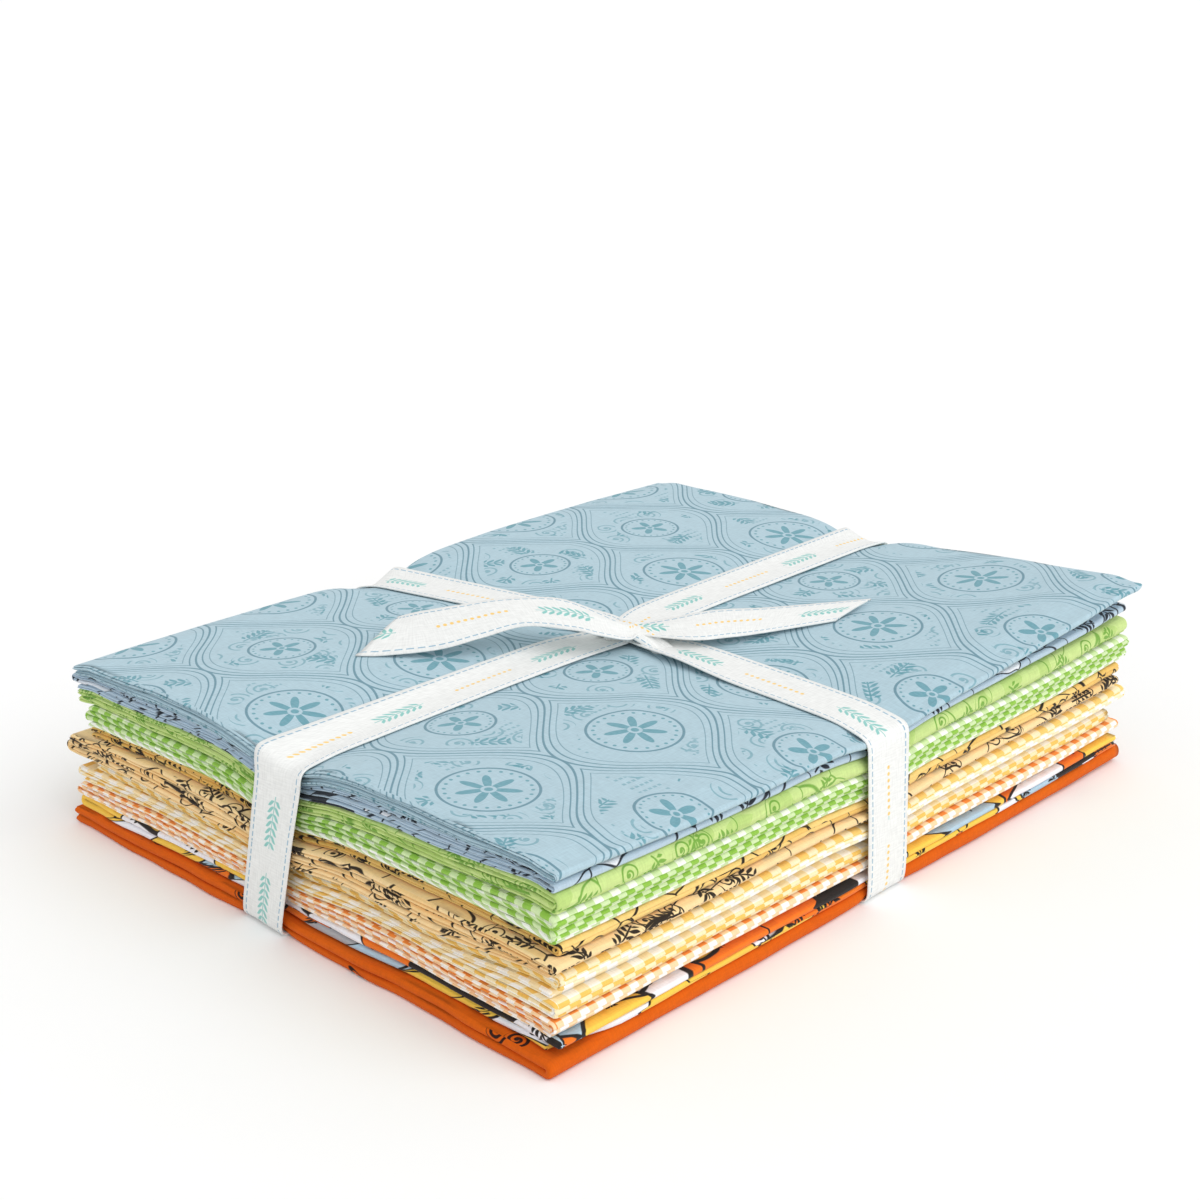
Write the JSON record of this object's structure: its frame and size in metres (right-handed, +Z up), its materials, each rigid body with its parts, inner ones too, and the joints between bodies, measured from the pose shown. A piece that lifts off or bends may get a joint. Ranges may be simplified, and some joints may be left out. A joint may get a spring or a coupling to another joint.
{
  "type": "tied bundle of folded cotton fabric",
  "caption": "Bundle of folded quilting cottons in blues, greens, tans, yellows and oranges, piled with folds to the front and tied crosswise with a flat white ribbon knotted on top.",
  "frame": {"origin": "middle of the bundle's footprint, on the surface that it lies on", "axes": "+Z up, +X along the longer side of the pile, -Y towards the side where most of the cloths' folds show"},
  "size_m": [0.284, 0.2262, 0.0725],
  "materials": {
    "sky_print_cotton": "matt plain weave, pale blue-grey with teal print",
    "mist_print_cotton": "matt plain weave, pale periwinkle with fine dark print",
    "lime_print_cotton": "matt plain weave, lime with green print",
    "green_gingham_cotton": "matt plain weave, green and white check",
    "gold_print_cotton": "matt plain weave, golden tan with black print",
    "tan_print_cotton": "matt plain weave, light tan with black print",
    "yellow_gingham_cotton": "matt plain weave, yellow and white check",
    "honey_gingham_cotton": "matt plain weave, honey yellow and white check",
    "orange_gingham_cotton": "matt plain weave, orange and white check",
    "marigold_print_cotton": "matt plain weave, white with yellow, orange and black print",
    "orange_print_cotton": "matt plain weave, strong orange",
    "ribbon_twill": "smooth white twill with pale blue stitched edges"
  },
  "bodies": {
    "root": {"cloth_sky_print": "sky_print_cotton", "cloth_mist_print": "mist_print_cotton", "cloth_lime_print": "lime_print_cotton", "cloth_green_gingham": "green_gingham_cotton", "cloth_gold_print": "gold_print_cotton", "cloth_tan_print": "tan_print_cotton", "cloth_yellow_gingham": "yellow_gingham_cotton", "cloth_honey_gingham": "honey_gingham_cotton", "cloth_orange_gingham": "orange_gingham_cotton", "cloth_marigold_print": "marigold_print_cotton", "cloth_orange_print": "orange_print_cotton", "ribbon": "ribbon_twill"}
  },
  "joints": []
}
